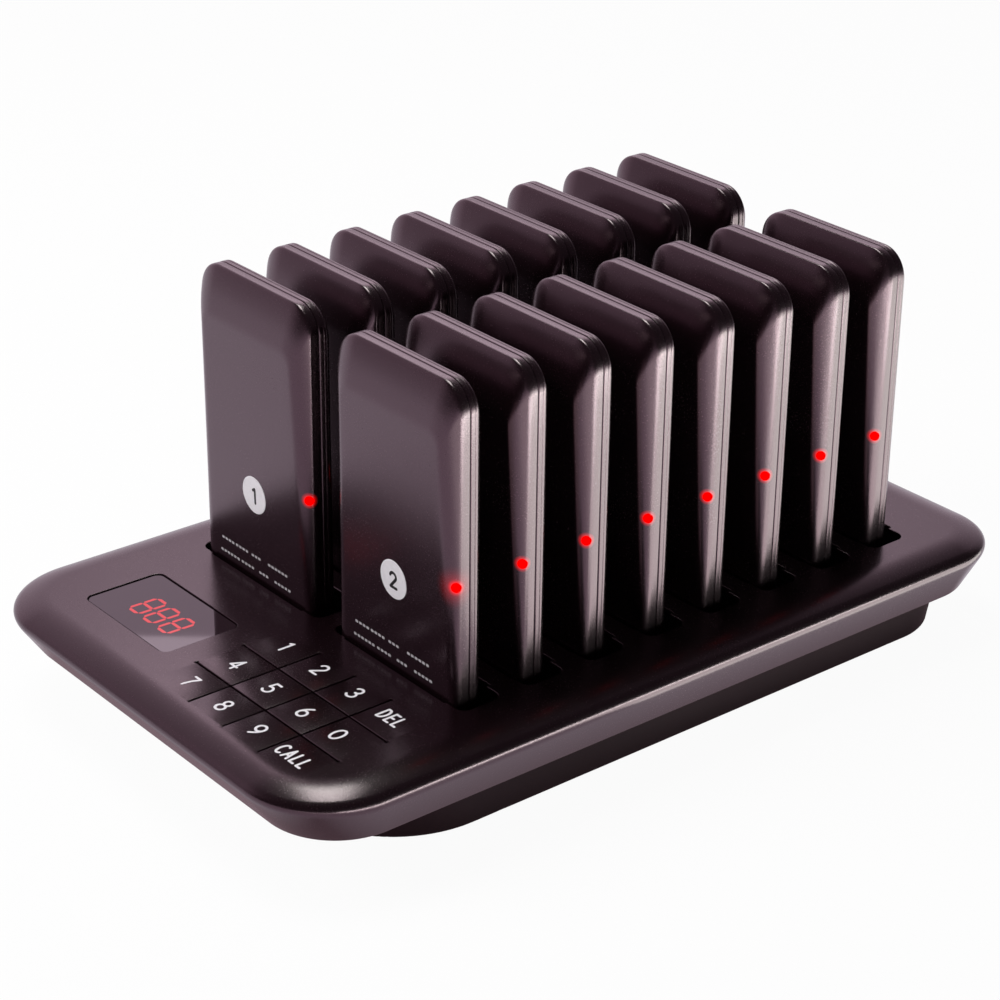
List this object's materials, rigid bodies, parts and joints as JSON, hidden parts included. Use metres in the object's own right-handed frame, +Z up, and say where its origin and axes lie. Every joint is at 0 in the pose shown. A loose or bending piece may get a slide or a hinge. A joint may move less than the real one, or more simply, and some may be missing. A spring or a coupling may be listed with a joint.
{
  "type": "guest pager system",
  "caption": "Counter-top guest pager charger: dark sloping-edged base with keypad and small lit display, and numbered pagers standing in two columns of charging slots.",
  "frame": {"origin": "on the counter under the rubber feet, below the middle of the base's outline", "axes": "+X to the right of the person at the keypad, +Y from the keypad end to the far end, +Z up"},
  "size_m": [0.1674, 0.273, 0.1264],
  "materials": {
    "cover_plastic": "moulded ABS, very dark brown-black, fine satin grain",
    "tub_plastic": "moulded ABS, black, satin",
    "rack_plastic": "moulded ABS, black",
    "key_plastic": "same moulding grain as the cover, with white printed legends",
    "pager_plastic": "moulded ABS, very dark brown-black, fine satin grain, red light guide",
    "window_plastic": "tinted acrylic, polished",
    "display_plastic": "epoxy-filled LED module, red segments",
    "circuit_board": "glass epoxy with solder mask",
    "switch_plastic": "moulded, black",
    "ribbon_plastic": "flat flexible lead, grey",
    "contact_brass": "gold-flashed spring contacts",
    "antenna_wire": "plated copper wire",
    "screw_steel": "zinc plated",
    "foot_rubber": "moulded rubber, black"
  },
  "bodies": {
    "base": {"top_cover": "cover_plastic", "bottom_cover": "tub_plastic", "charging_rack": "rack_plastic", "charging_board": "circuit_board", "charging_pins": "contact_brass", "main_board": "circuit_board", "key_switches": "switch_plastic", "display_window": "window_plastic", "display_module": "display_plastic", "buzzer": "switch_plastic", "antenna": "antenna_wire", "board_ribbon": "ribbon_plastic", "power_jack": "switch_plastic", "cover_screws": "screw_steel", "board_screws": "screw_steel", "rubber_feet": "foot_rubber"},
    "key_7": {"key_7": "key_plastic"},
    "key_8": {"key_8": "key_plastic"},
    "key_9": {"key_9": "key_plastic"},
    "key_call": {"key_call": "key_plastic"},
    "key_4": {"key_4": "key_plastic"},
    "key_5": {"key_5": "key_plastic"},
    "key_6": {"key_6": "key_plastic"},
    "key_0": {"key_0": "key_plastic"},
    "key_1": {"key_1": "key_plastic"},
    "key_2": {"key_2": "key_plastic"},
    "key_3": {"key_3": "key_plastic"},
    "key_del": {"key_del": "key_plastic"},
    "pager_01": {"pager_01_front": "pager_plastic", "pager_01_rear": "pager_plastic"},
    "pager_02": {"pager_02_front": "pager_plastic", "pager_02_rear": "pager_plastic"},
    "pager_03": {"pager_03_front": "pager_plastic", "pager_03_rear": "pager_plastic"},
    "pager_04": {"pager_04_front": "pager_plastic", "pager_04_rear": "pager_plastic"},
    "pager_05": {"pager_05_front": "pager_plastic", "pager_05_rear": "pager_plastic"},
    "pager_06": {"pager_06_front": "pager_plastic", "pager_06_rear": "pager_plastic"},
    "pager_07": {"pager_07_front": "pager_plastic", "pager_07_rear": "pager_plastic"},
    "pager_08": {"pager_08_front": "pager_plastic", "pager_08_rear": "pager_plastic"},
    "pager_09": {"pager_09_front": "pager_plastic", "pager_09_rear": "pager_plastic"},
    "pager_10": {"pager_10_front": "pager_plastic", "pager_10_rear": "pager_plastic"},
    "pager_11": {"pager_11_front": "pager_plastic", "pager_11_rear": "pager_plastic"},
    "pager_12": {"pager_12_front": "pager_plastic", "pager_12_rear": "pager_plastic"},
    "pager_13": {"pager_13_front": "pager_plastic", "pager_13_rear": "pager_plastic"},
    "pager_14": {"pager_14_front": "pager_plastic", "pager_14_rear": "pager_plastic"},
    "pager_15": {"pager_15_front": "pager_plastic", "pager_15_rear": "pager_plastic"},
    "pager_16": {"pager_16_front": "pager_plastic", "pager_16_rear": "pager_plastic"}
  },
  "joints": [
    {"name": "press_7", "type": "hinge", "parent": "base", "child": "key_7", "pos_m": [0.00509, -0.1249, 0.0298], "axis": [-1, 0, 0], "range_deg": [0, 2.5], "stiffness_Nm_per_rad": 0.27},
    {"name": "press_8", "type": "hinge", "parent": "base", "child": "key_8", "pos_m": [0.02187, -0.1249, 0.0298], "axis": [-1, 0, 0], "range_deg": [0, 2.5], "stiffness_Nm_per_rad": 0.27},
    {"name": "press_9", "type": "hinge", "parent": "base", "child": "key_9", "pos_m": [0.03865, -0.1249, 0.0298], "axis": [-1, 0, 0], "range_deg": [0, 2.5], "stiffness_Nm_per_rad": 0.27},
    {"name": "press_call", "type": "hinge", "parent": "base", "child": "key_call", "pos_m": [0.05543, -0.1249, 0.0298], "axis": [-1, 0, 0], "range_deg": [0, 2.5], "stiffness_Nm_per_rad": 0.27},
    {"name": "press_4", "type": "hinge", "parent": "base", "child": "key_4", "pos_m": [-0.0033, -0.1029, 0.0298], "axis": [0, 1, 0], "range_deg": [0, 2.5], "stiffness_Nm_per_rad": 0.27},
    {"name": "press_5", "type": "slide", "parent": "base", "child": "key_5", "axis": [0, 0, -1], "range_m": [0, 0.00035], "stiffness_N_per_m": 4300},
    {"name": "press_6", "type": "slide", "parent": "base", "child": "key_6", "axis": [0, 0, -1], "range_m": [0, 0.00035], "stiffness_N_per_m": 4300},
    {"name": "press_0", "type": "hinge", "parent": "base", "child": "key_0", "pos_m": [0.06382, -0.1029, 0.0298], "axis": [0, -1, 0], "range_deg": [0, 2.5], "stiffness_Nm_per_rad": 0.27},
    {"name": "press_1", "type": "hinge", "parent": "base", "child": "key_1", "pos_m": [0.00509, -0.0809, 0.0298], "axis": [1, 0, 0], "range_deg": [0, 2.5], "stiffness_Nm_per_rad": 0.27},
    {"name": "press_2", "type": "hinge", "parent": "base", "child": "key_2", "pos_m": [0.02187, -0.0809, 0.0298], "axis": [1, 0, 0], "range_deg": [0, 2.5], "stiffness_Nm_per_rad": 0.27},
    {"name": "press_3", "type": "hinge", "parent": "base", "child": "key_3", "pos_m": [0.03865, -0.0809, 0.0298], "axis": [1, 0, 0], "range_deg": [0, 2.5], "stiffness_Nm_per_rad": 0.27},
    {"name": "press_del", "type": "hinge", "parent": "base", "child": "key_del", "pos_m": [0.05543, -0.0809, 0.0298], "axis": [1, 0, 0], "range_deg": [0, 2.5], "stiffness_Nm_per_rad": 0.27},
    {"name": "lift_pager_01", "type": "slide", "parent": "base", "child": "pager_01", "axis": [0, 0, 1], "range_m": [0, 0.12]},
    {"name": "lift_pager_02", "type": "slide", "parent": "base", "child": "pager_02", "axis": [0, 0, 1], "range_m": [0, 0.12]},
    {"name": "lift_pager_03", "type": "slide", "parent": "base", "child": "pager_03", "axis": [0, 0, 1], "range_m": [0, 0.12]},
    {"name": "lift_pager_04", "type": "slide", "parent": "base", "child": "pager_04", "axis": [0, 0, 1], "range_m": [0, 0.12]},
    {"name": "lift_pager_05", "type": "slide", "parent": "base", "child": "pager_05", "axis": [0, 0, 1], "range_m": [0, 0.12]},
    {"name": "lift_pager_06", "type": "slide", "parent": "base", "child": "pager_06", "axis": [0, 0, 1], "range_m": [0, 0.12]},
    {"name": "lift_pager_07", "type": "slide", "parent": "base", "child": "pager_07", "axis": [0, 0, 1], "range_m": [0, 0.12]},
    {"name": "lift_pager_08", "type": "slide", "parent": "base", "child": "pager_08", "axis": [0, 0, 1], "range_m": [0, 0.12]},
    {"name": "lift_pager_09", "type": "slide", "parent": "base", "child": "pager_09", "axis": [0, 0, 1], "range_m": [0, 0.12]},
    {"name": "lift_pager_10", "type": "slide", "parent": "base", "child": "pager_10", "axis": [0, 0, 1], "range_m": [0, 0.12]},
    {"name": "lift_pager_11", "type": "slide", "parent": "base", "child": "pager_11", "axis": [0, 0, 1], "range_m": [0, 0.12]},
    {"name": "lift_pager_12", "type": "slide", "parent": "base", "child": "pager_12", "axis": [0, 0, 1], "range_m": [0, 0.12]},
    {"name": "lift_pager_13", "type": "slide", "parent": "base", "child": "pager_13", "axis": [0, 0, 1], "range_m": [0, 0.12]},
    {"name": "lift_pager_14", "type": "slide", "parent": "base", "child": "pager_14", "axis": [0, 0, 1], "range_m": [0, 0.12]},
    {"name": "lift_pager_15", "type": "slide", "parent": "base", "child": "pager_15", "axis": [0, 0, 1], "range_m": [0, 0.12]},
    {"name": "lift_pager_16", "type": "slide", "parent": "base", "child": "pager_16", "axis": [0, 0, 1], "range_m": [0, 0.12]}
  ]
}
